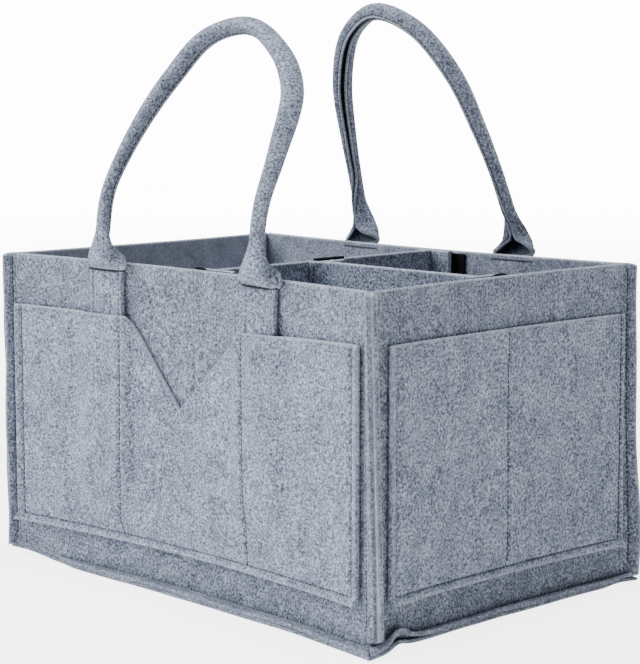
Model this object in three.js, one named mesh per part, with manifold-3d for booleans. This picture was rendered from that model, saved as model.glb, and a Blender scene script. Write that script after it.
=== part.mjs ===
// Felt nursery caddy: an open box sewn from felt, with outside pockets, two rolled handles and two dividers.
// Millimetres, +Z up. The origin is on the ground under the middle of the box, and the front panel faces -Y.

import * as THREE from "three";
import { mergeVertices } from "three/addons/utils/BufferGeometryUtils.js";
import Module from "manifold-3d";

const wasm = await Module();
wasm.setup();

// Felt and sewing
const FELT = 3; // thickness of every felt piece
const LAYER_GAP = 0.3; // clearance between two layers that lie on each other
const CURVE_STEPS = 16; // straight steps along one bowed panel
const LAYER_STEPS = 4; // straight steps along a strap or tape

// Box
const BOX_LENGTH = 300; // along X, between the outer faces at the corners
const BOX_WIDTH = 211; // along Y, between the outer faces at the corners
const RIM_HEIGHT = 184;
const LONG_BOW = 10; // how far the long panels bow in at their middle
const SHORT_BOW = 4; // how far the short panels bow in at their middle
const FIN_DEPTH = 4; // how far a corner seam stands out past the corner
const FLANGE_DEPTH = 7; // seam allowance round the bottom

// Pockets on the long panels
const LONG_POCKET_INSET = 7; // from the corner of the box to the side of the pocket
const LONG_POCKET_TOP = 154;
const LONG_POCKET_BOTTOM = 24;
const LONG_POCKET_STITCH = 51.5; // stitch lines that part the pocket in three
const NOTCH_HALF = 49.5; // the V cut in the middle pocket
const NOTCH_BOTTOM = 109;
const LONG_POCKET_MOUTH = 6.2; // how far a mouth stands open

// Pockets on the short panels, parted in two by a middle stitch
const SHORT_POCKET_INSET = 9.5; // from the corner of the box to the side of the pocket
const SHORT_POCKET_TOP = 156;
const SHORT_POCKET_BOTTOM = 23;
const SHORT_POCKET_MOUTH = 6.2;
const MOUTH_DEPTH = 36; // a pocket is fully open down to this depth under its top
const POCKET_ROWS = 7; // steps up a pocket
const POCKET_STEPS = 6; // steps across one compartment

// Straps under the handles
const STRAP_CENTRE = 64; // distance of each strap and handle foot from the middle
const STRAP_WIDTH = 30;
const STRAP_BOTTOM = 70;
const STRAP_SLOPE = 24; // the pocket comes down to the wall this far beside a strap

// Handles
const FRONT_LEAN = THREE.MathUtils.degToRad(33.7); // inward, above the bend in the legs
const BACK_LEAN = THREE.MathUtils.degToRad(23.3);
const FRONT_TWIST = 0.13; // share by which the front handle's right leg leans more, and its left one less
const FRONT_SKEW = -12; // how far the top of the front handle hangs to the side
const BEND_START = 2; // the upright foot starts to lean at this height over the hinge line
const BEND_LENGTH = 50;
const HINGE_LIFT = 1; // the hinge line above the rim
const FOOT_RADIUS = 4; // half the thickness of the flared foot
const FOOT_WIDTH = 34;
const FOOT_RINGS = [-0.94, -0.6]; // rings of the foot's rounded lower edge, as shares of its radius
const FLARE_LENGTH = 34;
const FLARE_RINGS = [0, 0.12, 0.25, 0.4, 0.58, 0.78, 1]; // rings up the flare, as shares of its length
const LEG_WIDTH = 8.8;
const GRIP_WIDTH = 11.4;
const GRIP_THICKNESS = 10;
const LEG_LENGTH = 53.5; // leg under the arch, from the hinge line up
const ARCH_RISE = 97.7;
const ARCH_TAPER = 0.168; // how far the legs lean together, as a share of their spacing at the top
const ARCH_STEPS = 18;
const SECTION_SIDES = 12;

// Dividers and their hook-and-loop tape
const TAPE = 1.5; // thickness of one tape
const LOOP_DROP = 1; // the loop tape ends this far under the rim
const DIVIDER_DROP = 2; // the dividers end this far under the rim
const CROSS_X = 14; // middle of the cross divider
const HALF_Y = -11; // middle of the half divider
const SHORT_WING = 8; // the end tab, measured from the middle of its divider
const LONG_WING = 16;
const LOOP_START = 2; // loop tape on a wall or divider, measured from the middle of the divider
const LOOP_WIDTH = 24;
const TAB_INSET = 1; // the hook tape ends this far inside its tab

// Felt and tape colours
const FELT_LOOK = { color: 0x8d9298, roughness: 0.96, metalness: 0 };
const TAPE_LOOK = { color: 0x16171a, roughness: 0.85, metalness: 0 };

const caddy = new THREE.Group();
const baseTop = FELT;
const wallBottom = baseTop + LAYER_GAP;
const dividerTop = RIM_HEIGHT - DIVIDER_DROP;
const loopTop = RIM_HEIGHT - LOOP_DROP;
const longPocketHalf = BOX_LENGTH / 2 - LONG_POCKET_INSET;
const shortPocketHalf = BOX_WIDTH / 2 - SHORT_POCKET_INSET;
const tapeStack = 2 * TAPE + 3 * LAYER_GAP; // loop and hook tape between a wall and a tab

// Each wall is drawn as if it were the front: x along it, -y outward. The group turns it into place.
const longWall = { length: BOX_LENGTH, depth: BOX_WIDTH, bow: LONG_BOW };
const shortWall = { length: BOX_WIDTH, depth: BOX_LENGTH, bow: SHORT_BOW };
const walls = {
  front: { ...longWall, turn: 0 },
  right: { ...shortWall, turn: Math.PI / 2 },
  back: { ...longWall, turn: Math.PI },
  left: { ...shortWall, turn: -Math.PI / 2 },
};

function addMesh(parent, name, geometry, look) {
  const mesh = new THREE.Mesh(geometry, new THREE.MeshStandardMaterial(look));
  mesh.name = name;
  parent.add(mesh);
  return mesh;
}

function wallGroup(wall) {
  const group = new THREE.Group();
  group.rotation.z = wall.turn;
  caddy.add(group);
  return group;
}

// Shape of a wall in plan

// y of the wall's outer face at x; the face is straight past the corners
function outerFace(wall, x) {
  const t = Math.min(1, Math.abs((2 * x) / wall.length));
  const past = Math.max(0, Math.abs(x) - wall.length / 2);
  const slope = (4 * wall.bow) / wall.length;
  return -wall.depth / 2 + wall.bow * (1 - t * t) - slope * past;
}

// Distance in from the corner at which a line, offset inward from the outer face, meets the corner's seam
function seamReach(wall, inward, seamGap) {
  const slope = (4 * wall.bow) / wall.length;
  return (inward + Math.SQRT2 * seamGap) / (1 - slope);
}

function curvePoints(wall, from, to, inward, steps) {
  const points = [];
  for (let i = 0; i <= steps; i += 1) {
    const x = from + ((to - from) * i) / steps;
    points.push(new THREE.Vector2(x, outerFace(wall, x) + inward));
  }
  return points;
}

// Point on a corner's seam line; side is -1 for the wall's left corner and +1 for its right one
function seamPoint(wall, side, reach, seamGap) {
  return new THREE.Vector2(side * (wall.length / 2 - reach), -wall.depth / 2 + reach - Math.SQRT2 * seamGap);
}

function extrudeUp(points, bottom, top) {
  const geometry = new THREE.ExtrudeGeometry(new THREE.Shape(points), {
    depth: top - bottom,
    bevelEnabled: false,
    curveSegments: 1,
  });
  geometry.translate(0, 0, bottom);
  return geometry;
}

// A felt or tape layer that follows a wall, between two distances outward from its outer face
function wallLayer(wall, from, to, near, far, bottom, top, steps) {
  const outside = curvePoints(wall, from, to, -far, steps);
  const inside = curvePoints(wall, from, to, -near, steps).reverse();
  return extrudeUp([...outside, ...inside], bottom, top);
}

// Joins of closed meshes

function toSolid(geometry) {
  const bare = geometry.clone();
  bare.deleteAttribute("normal");
  bare.deleteAttribute("uv");
  const merged = mergeVertices(bare, 1e-4);
  const vertProperties = new Float32Array(merged.attributes.position.array);
  const triVerts = new Uint32Array(merged.index.array);
  return new wasm.Manifold(new wasm.Mesh({ numProp: 3, vertProperties, triVerts }));
}

function fromSolid(solid) {
  const mesh = solid.getMesh();
  const geometry = new THREE.BufferGeometry();
  geometry.setAttribute("position", new THREE.BufferAttribute(new Float32Array(mesh.vertProperties), 3));
  geometry.setIndex(new THREE.BufferAttribute(new Uint32Array(mesh.triVerts), 1));
  geometry.computeVertexNormals();
  return geometry;
}

// Wall panels: bowed felt with a standing half seam at each corner and a flange turned out at the bottom

function wallPanel(wall) {
  const half = LAYER_GAP / 2;
  const innerReach = seamReach(wall, FELT, half);
  const flangeReach = seamReach(wall, -FLANGE_DEPTH, half);
  const bendReach = seamReach(wall, Math.SQRT2 * FELT, half);
  const finReach = -FIN_DEPTH / Math.SQRT2;
  const outX = FELT / Math.SQRT2; // the half seam is one felt thick, square to the diagonal
  const innerX = wall.length / 2 - innerReach;
  const bendX = wall.length / 2 - bendReach;
  const flangeX = wall.length / 2 - flangeReach;

  const inside = curvePoints(wall, innerX, -innerX, FELT, CURVE_STEPS).slice(1, -1);
  const insideEdge = [seamPoint(wall, 1, innerReach, half), ...inside, seamPoint(wall, -1, innerReach, half)];
  const tips = [-1, 1].map((side) => seamPoint(wall, side, finReach, half));
  const tipsOut = [-1, 1].map((side, i) => new THREE.Vector2(tips[i].x - side * outX, tips[i].y - outX));
  const outside = curvePoints(wall, -bendX, bendX, 0, CURVE_STEPS);
  const upright = [tips[0], tipsOut[0], ...outside, tipsOut[1], tips[1], ...insideEdge];

  const flangeCurve = curvePoints(wall, -flangeX, flangeX, -FLANGE_DEPTH, CURVE_STEPS).slice(1, -1);
  const flangeEnds = [-1, 1].map((side) => seamPoint(wall, side, flangeReach, half));
  const flange = [flangeEnds[0], ...flangeCurve, flangeEnds[1], ...insideEdge];

  const panel = toSolid(extrudeUp(upright, wallBottom, RIM_HEIGHT));
  const skirt = toSolid(extrudeUp(flange, wallBottom, wallBottom + FELT));
  return fromSolid(panel.add(skirt));
}

for (const [name, wall] of Object.entries(walls)) {
  addMesh(wallGroup(wall), `${name}_panel`, wallPanel(wall), FELT_LOOK);
}

// Base panel: flat felt cut to the outer edge of the flanges

function basePanel() {
  const edge = [];
  for (const wall of Object.values(walls)) {
    const endX = wall.length / 2 - seamReach(wall, -FLANGE_DEPTH, 0);
    const side = curvePoints(wall, -endX, endX, -FLANGE_DEPTH, CURVE_STEPS).slice(0, -1);
    edge.push(...side.map((point) => point.rotateAround(new THREE.Vector2(), wall.turn)));
  }
  return extrudeUp(edge, 0, baseTop);
}

addMesh(caddy, "base_panel", basePanel(), FELT_LOOK);

// A closed sheet from two grids of points, an inner and an outer one, with the same rows and columns

function closedSheet(inner, outer) {
  const rows = inner.length;
  const columns = inner[0].length;
  const positions = [...inner.flat(), ...outer.flat()].flatMap((point) => [point.x, point.y, point.z]);
  const index = [];
  const at = (side, row, column) => side * rows * columns + row * columns + column;
  const quad = (a, b, c, d) => index.push(a, b, c, a, c, d);
  for (let r = 0; r < rows - 1; r += 1) {
    for (let c = 0; c < columns - 1; c += 1) {
      quad(at(1, r, c), at(1, r, c + 1), at(1, r + 1, c + 1), at(1, r + 1, c));
      quad(at(0, r, c), at(0, r + 1, c), at(0, r + 1, c + 1), at(0, r, c + 1));
    }
    quad(at(0, r, 0), at(1, r, 0), at(1, r + 1, 0), at(0, r + 1, 0));
    quad(at(1, r, columns - 1), at(0, r, columns - 1), at(0, r + 1, columns - 1), at(1, r + 1, columns - 1));
  }
  for (let c = 0; c < columns - 1; c += 1) {
    quad(at(0, 0, c), at(0, 0, c + 1), at(1, 0, c + 1), at(1, 0, c));
    quad(at(1, rows - 1, c), at(1, rows - 1, c + 1), at(0, rows - 1, c + 1), at(0, rows - 1, c));
  }
  const geometry = new THREE.BufferGeometry();
  geometry.setAttribute("position", new THREE.Float32BufferAttribute(positions, 3));
  geometry.setIndex(index);
  geometry.computeVertexNormals();
  return geometry;
}

// Pockets: one felt panel, sewn down at its sides, bottom and stitch lines and standing open at the mouths

function smooth(from, to, value) {
  return THREE.MathUtils.smoothstep(value, from, to);
}

// seams lists the sewn lines from left to right, with the two sides first and last
function pocketColumns(seams) {
  const columns = [];
  for (let s = 0; s < seams.length - 1; s += 1) {
    for (let i = 0; i < POCKET_STEPS; i += 1) {
      columns.push(seams[s] + ((seams[s + 1] - seams[s]) * i) / POCKET_STEPS);
    }
  }
  return [...columns, seams[seams.length - 1]];
}

function pocketPanel(wall, pocket) {
  // distance of the pocket's inner face from the wall's outer face
  const lift = (x, z) => {
    const next = pocket.seams.findIndex((seam) => seam > x);
    const last = next === -1 ? pocket.seams.length - 1 : next;
    const from = pocket.seams[last - 1];
    const across = (x - from) / (pocket.seams[last] - from);
    const opened = smooth(pocket.bottom, pocket.top - MOUTH_DEPTH, z);
    return LAYER_GAP + pocket.under(x, z) + pocket.mouth * Math.sin(Math.PI * across) * opened;
  };
  const inner = [];
  const outer = [];
  for (let r = 0; r <= POCKET_ROWS; r += 1) {
    const innerRow = [];
    const outerRow = [];
    for (const x of pocket.columns) {
      const z = pocket.bottom + ((pocket.edge(x) - pocket.bottom) * r) / POCKET_ROWS;
      const y = outerFace(wall, x) - lift(x, z);
      innerRow.push(new THREE.Vector3(x, y, z));
      outerRow.push(new THREE.Vector3(x, y - FELT, z));
    }
    inner.push(innerRow);
    outer.push(outerRow);
  }
  return closedSheet(inner, outer);
}

const strapOuter = STRAP_CENTRE + STRAP_WIDTH / 2;
const strapInner = STRAP_CENTRE - STRAP_WIDTH / 2;
const strapStack = FELT + LAYER_GAP;

const longPocket = {
  seams: [-longPocketHalf, -LONG_POCKET_STITCH, LONG_POCKET_STITCH, longPocketHalf],
  top: LONG_POCKET_TOP,
  bottom: LONG_POCKET_BOTTOM,
  mouth: LONG_POCKET_MOUTH,
  // the upper edge, with the V in the middle
  edge: (x) => {
    const fall = Math.max(0, 1 - Math.abs(x) / NOTCH_HALF);
    return LONG_POCKET_TOP - (LONG_POCKET_TOP - NOTCH_BOTTOM) * fall;
  },
  // the pocket climbs over the straps that lie under it, and starts to climb below their ends
  under: (x, z) => {
    const aside = Math.abs(Math.abs(x) - STRAP_CENTRE) - STRAP_WIDTH / 2;
    const across = 1 - smooth(FELT, STRAP_SLOPE, aside);
    return strapStack * across * smooth(LONG_POCKET_BOTTOM, STRAP_BOTTOM - FELT, z);
  },
};
const addedColumns = [strapOuter + FELT, strapInner - FELT, NOTCH_HALF].flatMap((x) => [-x, x]);
const longColumns = new Set([...pocketColumns(longPocket.seams), ...addedColumns]);
longPocket.columns = [...longColumns].sort((a, b) => a - b);

const shortPocket = {
  seams: [-shortPocketHalf, 0, shortPocketHalf],
  top: SHORT_POCKET_TOP,
  bottom: SHORT_POCKET_BOTTOM,
  mouth: SHORT_POCKET_MOUTH,
  edge: () => SHORT_POCKET_TOP,
  under: () => 0,
};
shortPocket.columns = pocketColumns(shortPocket.seams);

for (const [name, wall] of Object.entries(walls)) {
  const pocket = wall.length === BOX_LENGTH ? longPocket : shortPocket;
  addMesh(wallGroup(wall), `${name}_pocket`, pocketPanel(wall, pocket), FELT_LOOK);
}

// Handles: a rolled felt strip, flared at both feet, that hinges at the rim just outside its straps

function strapGeometry(wall, centre) {
  const from = centre - STRAP_WIDTH / 2;
  const to = centre + STRAP_WIDTH / 2;
  return wallLayer(wall, from, to, LAYER_GAP, LAYER_GAP + FELT, STRAP_BOTTOM, RIM_HEIGHT, LAYER_STEPS);
}

// Stations along one leg: height over the hinge line, width and thickness of the section
function legStations() {
  // the lower edge is rounded across its width too, so that it turns clear of the strap
  const rounded = FOOT_RINGS.map((share) => ({
    h: share * FOOT_RADIUS,
    width: FOOT_WIDTH * Math.sqrt(1 - share ** 2),
    thickness: 2 * FOOT_RADIUS * Math.sqrt(1 - share ** 2),
  }));
  const flare = FLARE_RINGS.map((share) => ({
    h: share * FLARE_LENGTH,
    width: LEG_WIDTH + (FOOT_WIDTH - LEG_WIDTH) * (1 - share) ** 2,
    thickness: 2 * FOOT_RADIUS + (GRIP_THICKNESS - 2 * FOOT_RADIUS) * share,
  }));
  return [...rounded, ...flare];
}

function handleSections(skew) {
  const leg = legStations();
  const height = LEG_LENGTH + ARCH_RISE;
  const spacing = (h) => STRAP_CENTRE * (1 - (ARCH_TAPER * Math.max(0, h)) / height);
  const aside = (h) => skew * (Math.max(0, h) / height) ** 2;
  const at = (station, side) => ({
    centre: new THREE.Vector2(side * spacing(station.h) + aside(station.h), station.h),
    across: new THREE.Vector2(1, 0),
    width: station.width,
    thickness: station.thickness,
  });
  const arch = [];
  for (let i = 0; i <= ARCH_STEPS; i += 1) {
    const angle = Math.PI * (1 - i / ARCH_STEPS);
    const bulge = Math.sin(angle);
    const h = LEG_LENGTH + ARCH_RISE * bulge;
    arch.push({
      centre: new THREE.Vector2(spacing(h) * Math.cos(angle) + aside(h), h),
      across: new THREE.Vector2(-ARCH_RISE * Math.cos(angle), -STRAP_CENTRE * bulge).normalize(),
      width: LEG_WIDTH + (GRIP_WIDTH - LEG_WIDTH) * bulge,
      thickness: GRIP_THICKNESS,
    });
  }
  const up = leg.map((station) => at(station, -1));
  const down = leg.map((station) => at(station, 1)).reverse();
  down.forEach((section) => section.across.negate());
  return [...up, ...arch, ...down];
}

// Point of the strip, which bends inward above its foot; height is over the hinge line, out from its middle
function bentPoint(x, height, out, pose) {
  const lean = pose.lean * (1 + (pose.twist * x) / STRAP_CENTRE);
  const turn = lean * THREE.MathUtils.clamp((height - BEND_START) / BEND_LENGTH, 0, 1);
  const radius = BEND_LENGTH / lean;
  const straight = Math.min(height, BEND_START);
  const past = Math.max(0, height - BEND_START - BEND_LENGTH);
  const y = radius * (1 - Math.cos(turn)) + past * Math.sin(turn) + out * Math.cos(turn);
  const z = straight + radius * Math.sin(turn) + past * Math.cos(turn) - out * Math.sin(turn);
  return [x, y, z];
}

function handleGeometry(pose) {
  const sections = handleSections(pose.skew);
  const positions = [];
  const index = [];
  for (const section of sections) {
    for (let k = 0; k < SECTION_SIDES; k += 1) {
      const angle = (2 * Math.PI * k) / SECTION_SIDES;
      const side = (section.width / 2) * Math.cos(angle);
      const out = (section.thickness / 2) * Math.sin(angle);
      const x = section.centre.x + side * section.across.x;
      const height = section.centre.y + side * section.across.y;
      positions.push(...bentPoint(x, height, out, pose));
    }
  }
  for (let s = 0; s < sections.length - 1; s += 1) {
    for (let k = 0; k < SECTION_SIDES; k += 1) {
      const a = s * SECTION_SIDES + k;
      const b = s * SECTION_SIDES + ((k + 1) % SECTION_SIDES);
      index.push(a, b, b + SECTION_SIDES, a, b + SECTION_SIDES, a + SECTION_SIDES);
    }
  }
  const lastRing = (sections.length - 1) * SECTION_SIDES;
  for (let k = 1; k < SECTION_SIDES - 1; k += 1) {
    index.push(0, k + 1, k, lastRing, lastRing + k, lastRing + k + 1);
  }
  const geometry = new THREE.BufferGeometry();
  geometry.setAttribute("position", new THREE.Float32BufferAttribute(positions, 3));
  geometry.setIndex(index);
  geometry.computeVertexNormals();
  return geometry;
}

// Distance of the hinge line from the middle of the box, with the round foot just clear of the bowed strap
function hingeDistance(wall) {
  let reach = 0;
  for (let i = -SECTION_SIDES; i <= SECTION_SIDES; i += 1) {
    const share = i / SECTION_SIDES;
    const strapFace = LAYER_GAP + FELT - outerFace(wall, STRAP_CENTRE + (share * FOOT_WIDTH) / 2);
    reach = Math.max(reach, strapFace + FOOT_RADIUS * Math.sqrt(1 - share * share));
  }
  return reach + LAYER_GAP;
}

const handlePoses = {
  front: { lean: FRONT_LEAN, twist: FRONT_TWIST, skew: FRONT_SKEW },
  back: { lean: BACK_LEAN, twist: 0, skew: 0 },
};

for (const [name, pose] of Object.entries(handlePoses)) {
  const wall = walls[name];
  const group = wallGroup(wall);
  addMesh(group, `${name}_strap_left`, strapGeometry(wall, -STRAP_CENTRE), FELT_LOOK);
  addMesh(group, `${name}_strap_right`, strapGeometry(wall, STRAP_CENTRE), FELT_LOOK);
  const handle = addMesh(group, `${name}_handle`, handleGeometry(pose), FELT_LOOK);
  handle.position.set(0, -hingeDistance(wall), RIM_HEIGHT + HINGE_LIFT);
}

// Loop tapes on the walls, each beside the divider that it holds

function nearestMiddle(from, to) {
  return THREE.MathUtils.clamp(0, Math.min(from, to), Math.max(from, to));
}

// Distance of the tab's outer face from the middle of the box
function tabReach(wall, from, to) {
  return -outerFace(wall, nearestMiddle(from, to)) - FELT - tapeStack;
}

function addLoopTape(name, middle) {
  const wall = walls[name];
  // the back wall is turned half round, so its x runs the other way
  const flip = name === "back" ? -1 : 1;
  const ends = [flip * (middle + LOOP_START), flip * (middle + LOOP_START + LOOP_WIDTH)];
  const from = Math.min(...ends);
  const to = Math.max(...ends);
  const near = -(FELT + LAYER_GAP + TAPE);
  const far = -(FELT + LAYER_GAP);
  const tape = wallLayer(wall, from, to, near, far, wallBottom + FELT, loopTop, LAYER_STEPS);
  addMesh(wallGroup(wall), `${name}_loop_tape`, tape, TAPE_LOOK);
}

addLoopTape("front", CROSS_X);
addLoopTape("back", CROSS_X);
addLoopTape("right", HALF_Y);

// Dividers: a felt panel with a tab across each end, drawn with its length along y

function dividerOutline(middle, start, end) {
  const tabFrom = middle - SHORT_WING;
  const tabTo = middle + LONG_WING;
  const left = middle - FELT / 2;
  const right = middle + FELT / 2;
  const corners = [
    [tabFrom, start], [tabTo, start], [tabTo, start + FELT], [right, start + FELT],
    [right, end - FELT], [tabTo, end - FELT], [tabTo, end], [tabFrom, end],
    [tabFrom, end - FELT], [left, end - FELT], [left, start + FELT], [tabFrom, start + FELT],
  ];
  return corners.map(([x, y]) => new THREE.Vector2(x, y));
}

// Hook tape on the outside of a tab; facing is -1 at the start of the divider and +1 at its end
function hookOutline(middle, tabFace, facing) {
  const near = tabFace + facing * LAYER_GAP;
  const far = near + facing * TAPE;
  const from = middle - SHORT_WING + TAB_INSET;
  const to = middle + LONG_WING - TAB_INSET;
  const low = Math.min(near, far);
  const high = Math.max(near, far);
  return [[from, low], [to, low], [to, high], [from, high]].map(([x, y]) => new THREE.Vector2(x, y));
}

// Swaps the axes of a plan outline, so that a divider's length runs along x
function alongX(points) {
  return points.map((point) => new THREE.Vector2(point.y, point.x)).reverse();
}

const crossEnd = tabReach(longWall, CROSS_X - SHORT_WING, CROSS_X + LONG_WING);
const crossOutline = dividerOutline(CROSS_X, -crossEnd, crossEnd);
const crossHooks = { front: hookOutline(CROSS_X, -crossEnd, -1), back: hookOutline(CROSS_X, crossEnd, 1) };
addMesh(caddy, "cross_divider", extrudeUp(crossOutline, wallBottom, dividerTop), FELT_LOOK);
for (const [end, outline] of Object.entries(crossHooks)) {
  addMesh(caddy, `cross_divider_${end}_hook_tape`, extrudeUp(outline, wallBottom, dividerTop), TAPE_LOOK);
}

// the half divider runs from the cross divider's loop tape to the right panel
const crossFace = CROSS_X + FELT / 2;
const loopNear = crossFace + LAYER_GAP;
const loopFar = loopNear + TAPE;
const loopFrom = HALF_Y - LOOP_START;
const loopTo = loopFrom + LOOP_WIDTH;
const crossLoop = [[loopNear, loopFrom], [loopFar, loopFrom], [loopFar, loopTo], [loopNear, loopTo]]
  .map(([x, y]) => new THREE.Vector2(x, y));
addMesh(caddy, "cross_divider_loop_tape", extrudeUp(crossLoop, wallBottom, loopTop), TAPE_LOOK);

const halfStart = crossFace + tapeStack;
const halfEnd = tabReach(shortWall, HALF_Y - SHORT_WING, HALF_Y + LONG_WING);
const halfOutline = alongX(dividerOutline(HALF_Y, halfStart, halfEnd));
const halfHooks = { inner: hookOutline(HALF_Y, halfStart, -1), outer: hookOutline(HALF_Y, halfEnd, 1) };
addMesh(caddy, "half_divider", extrudeUp(halfOutline, wallBottom, dividerTop), FELT_LOOK);
for (const [end, outline] of Object.entries(halfHooks)) {
  const tape = extrudeUp(alongX(outline), wallBottom, dividerTop);
  addMesh(caddy, `half_divider_${end}_hook_tape`, tape, TAPE_LOOK);
}

export default caddy;
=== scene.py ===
import math

import bpy
import numpy as np
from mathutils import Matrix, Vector


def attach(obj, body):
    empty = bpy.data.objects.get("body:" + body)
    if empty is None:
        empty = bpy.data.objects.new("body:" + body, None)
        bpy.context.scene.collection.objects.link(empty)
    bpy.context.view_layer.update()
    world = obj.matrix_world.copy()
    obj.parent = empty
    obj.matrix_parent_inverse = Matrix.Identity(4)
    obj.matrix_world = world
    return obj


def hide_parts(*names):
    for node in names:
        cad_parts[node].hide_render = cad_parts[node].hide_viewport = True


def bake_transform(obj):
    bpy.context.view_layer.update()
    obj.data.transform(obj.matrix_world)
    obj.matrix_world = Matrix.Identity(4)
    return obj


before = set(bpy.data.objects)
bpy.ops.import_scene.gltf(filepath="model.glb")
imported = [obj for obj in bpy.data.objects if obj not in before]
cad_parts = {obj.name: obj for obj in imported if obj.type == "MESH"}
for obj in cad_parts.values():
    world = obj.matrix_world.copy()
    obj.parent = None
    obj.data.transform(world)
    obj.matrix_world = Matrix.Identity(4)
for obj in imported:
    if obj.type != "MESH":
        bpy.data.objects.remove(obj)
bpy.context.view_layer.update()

# View and studio: the camera stands off the near right corner, a little above the rim.
# A large soft key lights the long front wall, a smaller light hangs above, and a white room fills the rest.
# The pale floor glows more strongly farther out, so that it runs into the white room.


def add_object(name, data):
    piece = bpy.data.objects.new(name, data)
    bpy.context.scene.collection.objects.link(piece)
    return piece


camera_data = bpy.data.cameras.new("camera")
camera_data.sensor_width = 36.0
camera_data.lens = 108.95
camera_data.clip_end = 30.0
camera = add_object("camera", camera_data)
camera.location = (0.8336, -0.8127, 0.2942)
camera.rotation_euler = (math.radians(82.48), 0.0, math.radians(45.48))
bpy.context.scene.camera = camera


def set_inputs(node, values):
    """Sets inputs to plain values, or links them to the outputs of other nodes."""
    for socket, value in values.items():
        if isinstance(value, bpy.types.NodeSocket):
            node.id_data.links.new(value, node.inputs[socket])
        else:
            node.inputs[socket].default_value = value


def add_node(tree, kind, values=()):
    node = tree.nodes.new("ShaderNode" + kind)
    set_inputs(node, dict(values))
    return node


def new_material(name):
    """A material with its node tree, its shader and the object coordinates for its textures."""
    material = bpy.data.materials.new(name)
    material.use_nodes = True
    tree = material.node_tree
    place = add_node(tree, "TexCoord").outputs["Object"]
    return material, tree, tree.nodes["Principled BSDF"], place


world = bpy.data.worlds.new("white_room")
bpy.context.scene.world = world
world.use_nodes = True
room = world.node_tree
fill = room.nodes["Background"]
set_inputs(fill, {"Color": (0.93, 0.96, 1.0, 1.0), "Strength": 0.105})
backdrop = add_node(room, "Background", {"Color": (1.0, 1.0, 1.0, 1.0), "Strength": 14.0})
ray = add_node(room, "LightPath")
either = add_node(room, "MixShader", {
    "Fac": ray.outputs["Is Camera Ray"], 1: fill.outputs["Background"], 2: backdrop.outputs["Background"]})
set_inputs(room.nodes["World Output"], {"Surface": either.outputs["Shader"]})


def soft_light(name, place, target, size, power):
    data = bpy.data.lights.new(name, "AREA")
    data.shape = "DISK"
    data.size = size
    data.energy = power
    data.color = (0.91, 0.955, 1.0)
    light = add_object(name, data)
    light.location = place
    light.rotation_euler = (Vector(target) - Vector(place)).to_track_quat("-Z", "Y").to_euler()


soft_light("key_light", (-1.5, -1.7, 1.9), (0.0, 0.0, 0.1), 2.4, 102.0)
soft_light("top_light", (0.15, 0.3, 2.4), (0.0, 0.0, 0.1), 1.4, 44.0)

FLOOR_RADIUS = 4.0
FLOOR_SIDES = 96
FLOOR_LEVEL = -0.0004
floor_ring = []
for k in range(FLOOR_SIDES):
    angle = 2 * math.pi * k / FLOOR_SIDES
    floor_ring.append((FLOOR_RADIUS * math.cos(angle), FLOOR_RADIUS * math.sin(angle), FLOOR_LEVEL))
floor_mesh = bpy.data.meshes.new("floor")
floor_mesh.from_pydata(floor_ring, [], [list(range(FLOOR_SIDES))])
floor = add_object("floor", floor_mesh)
floor_paint, floor_nodes, floor_shader, floor_place = new_material("pale_floor")
from_middle = add_node(floor_nodes, "VectorMath", {0: floor_place})
from_middle.operation = "LENGTH"
sweep = add_node(floor_nodes, "MapRange", {
    "Value": from_middle.outputs["Value"], "From Min": 0.25, "From Max": 3.2, "To Min": 4.0, "To Max": 13.5})
sweep.interpolation_type = "SMOOTHSTEP"
ray = add_node(floor_nodes, "LightPath").outputs["Is Camera Ray"]
shown = add_node(floor_nodes, "MapRange", {"Value": ray, "To Min": 0.11, "To Max": 1.0})
strength = add_node(floor_nodes, "Math", {0: sweep.outputs["Result"], 1: shown.outputs["Result"]})
strength.operation = "MULTIPLY"
set_inputs(floor_shader, {"Base Color": (0.95, 0.95, 0.95, 1.0), "Roughness": 0.9,
                          "Emission Color": (1.0, 1.0, 1.0, 1.0),
                          "Emission Strength": strength.outputs["Value"]})
floor_mesh.materials.append(floor_paint)

# Wall panels: four pieces of 3 mm grey felt, pressed smooth inside and bowed inward a little. At each corner
# two panels are sewn together with their allowances standing out as a fin, and at the bottom the allowance is
# turned out over the base as a flange. Their inner faces are also painted lighter, as painted light, less on
# the back wall.

FELT = 3.0
LAYER_GAP = 0.3
RIM = 184.0
WALL_BOTTOM = 3.3
UNEVEN = 0.3
TUCK = 2.0
TUCK_HEIGHT = 23.0
TUCK_REACH = 6.0
FLANGE_DEPTH = 7.0
FLANGE_HALF = 1.1
FLANGE_TURN = 1.8
FLANGE_OVERLAP = 4.0
FLANGE_STITCH = 7.4
BASE_EDGE = 2.0
FIN_LENGTH = 7.8
FIN_STITCH = 5.4
FIN_SPLAY = 0.55
SPLAY_FROM = 0.4
FIN_LIFT_HEIGHT = 24.0
FIN_WAVE = 0.5
FIN_DROOP = 1.2
DROOP_HEIGHT = 8.0
SEAM_GAP = -0.05  # sewn layers press into each other
SEAM_THREAD = 0.7
TAPE_THREAD = 1.05
RISE_REACH = 45.0
RISE_SHARE = 0.55
CUT_EDGE = 1.1
EDGE_BULGE = 0.35
EDGE_CORE = 0.12
RIM_EDGE = (RIM - 4.0, RIM - 1.5)
OUTSIDE_SHARE = 0.6
EDGE_STEPS = (0.0, 0.15, 0.4, 0.75, 1.2, 2.2)
CREASE_STEPS = (-2.6, -1.5, -0.8, 0.0, 0.8, 1.5, 2.6)
CLOSEST_STEP = 0.11
# Looks: cut edges lightened (loose fibres and painted highlight), smoother grain with painted light inside
# the walls, and painted shade.
LOOKS = ("cut_edge", "smoothed_and_painted_light", "painted_shade")
CUT, SMOOTHED_AND_PAINTED_LIGHT, PAINTED_SHADE = range(3)
LONG_WALL = {"length": 300.0, "depth": 211.0, "bow": 10.0}
SHORT_WALL = {"length": 211.0, "depth": 300.0, "bow": 4.0}
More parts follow.
